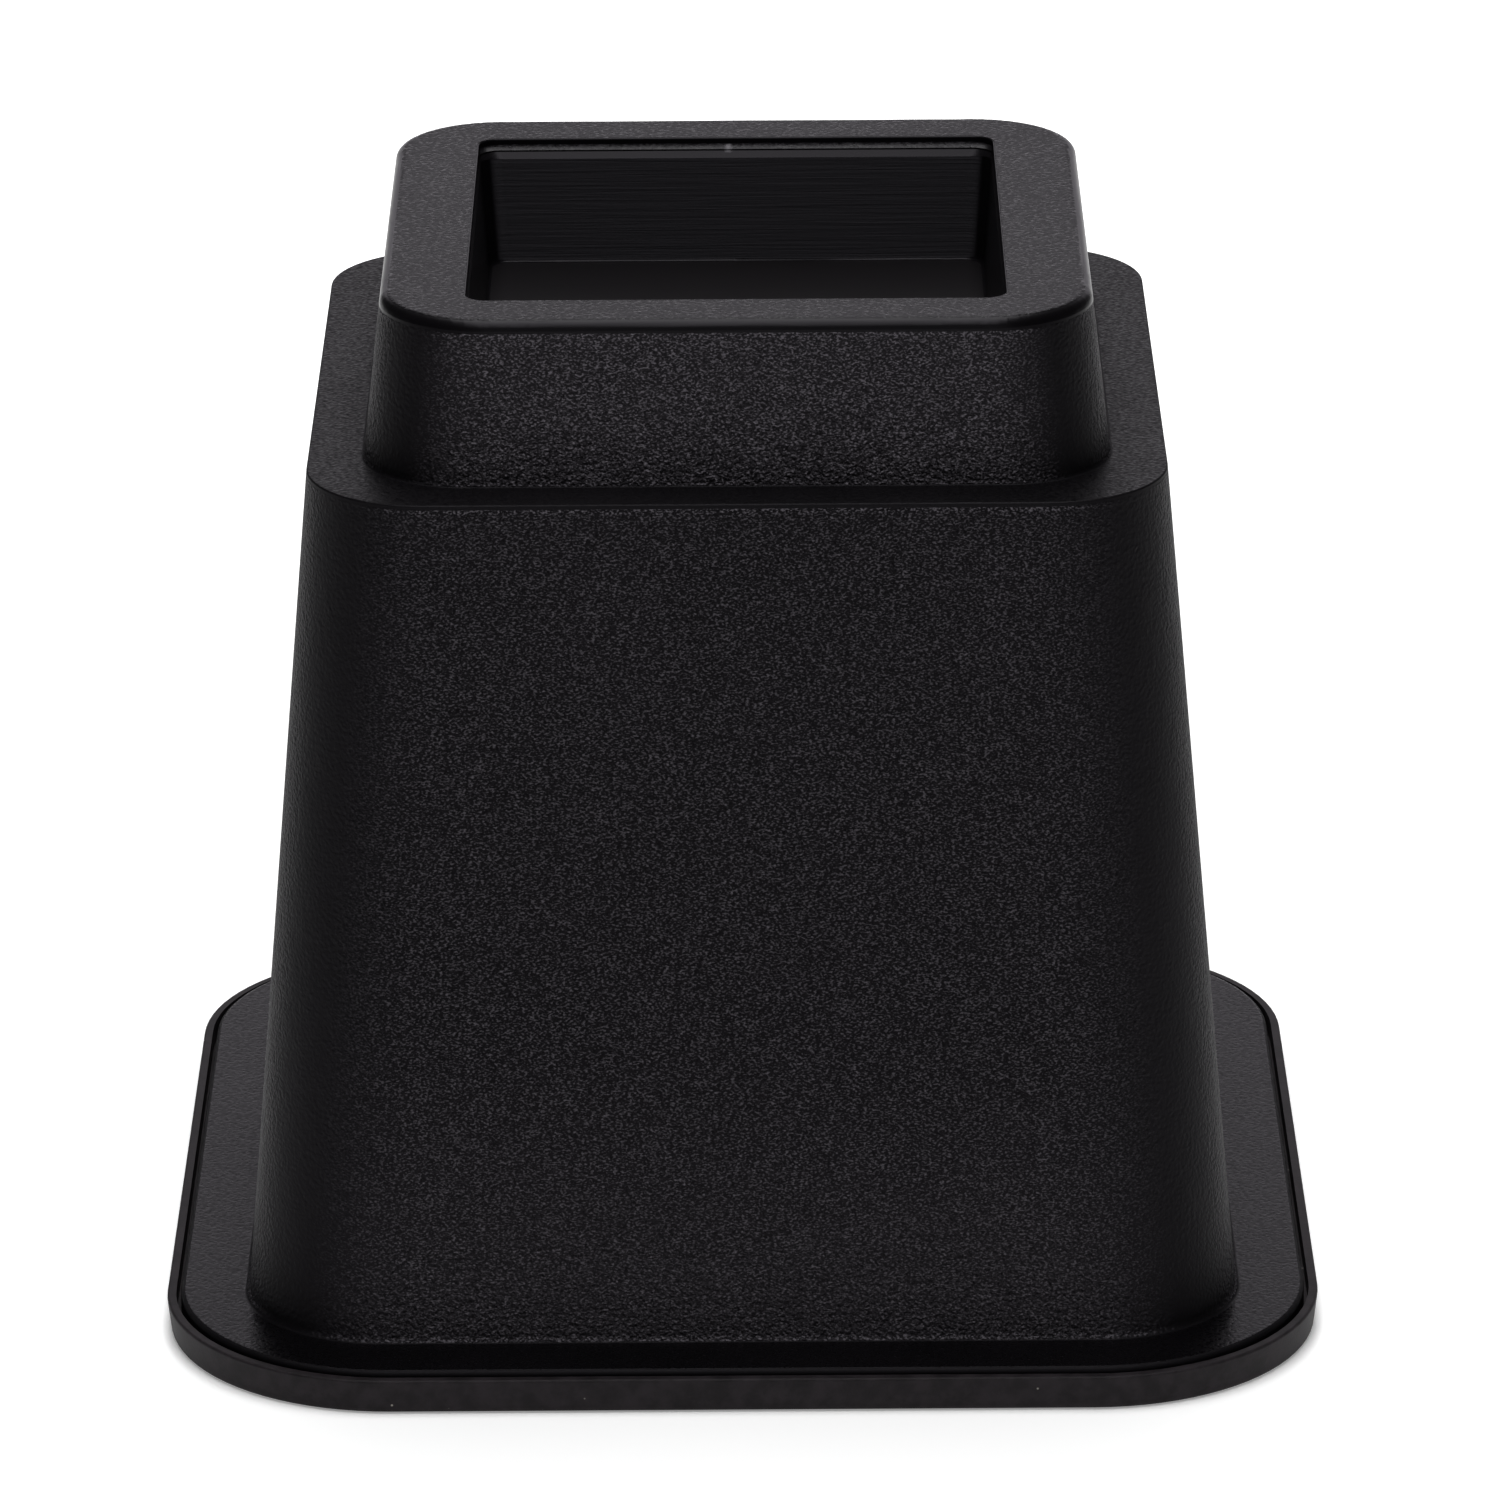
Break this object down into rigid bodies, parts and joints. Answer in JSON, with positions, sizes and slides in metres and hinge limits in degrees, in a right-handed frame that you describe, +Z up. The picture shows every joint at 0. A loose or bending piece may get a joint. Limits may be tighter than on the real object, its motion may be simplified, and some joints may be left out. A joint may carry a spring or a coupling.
{
  "type": "bed riser",
  "caption": "Square tapered bed riser of black moulded plastic, with a leg socket recessed in its raised collar, a wide flanged foot and a rubber grip ring around the base.",
  "frame": {"origin": "on the floor, below the middle of the base ring", "axes": "+Z up along the axis of the socket; +X and +Y square to the side walls, with the pictured side facing -Y"},
  "size_m": [0.1674, 0.1674, 0.1524],
  "materials": {
    "black_plastic": "satin black with a fine moulded grain",
    "grip_rubber": "matte black rubber"
  },
  "bodies": {
    "root": {"riser_body": "black_plastic", "base_ring": "grip_rubber"}
  },
  "joints": []
}
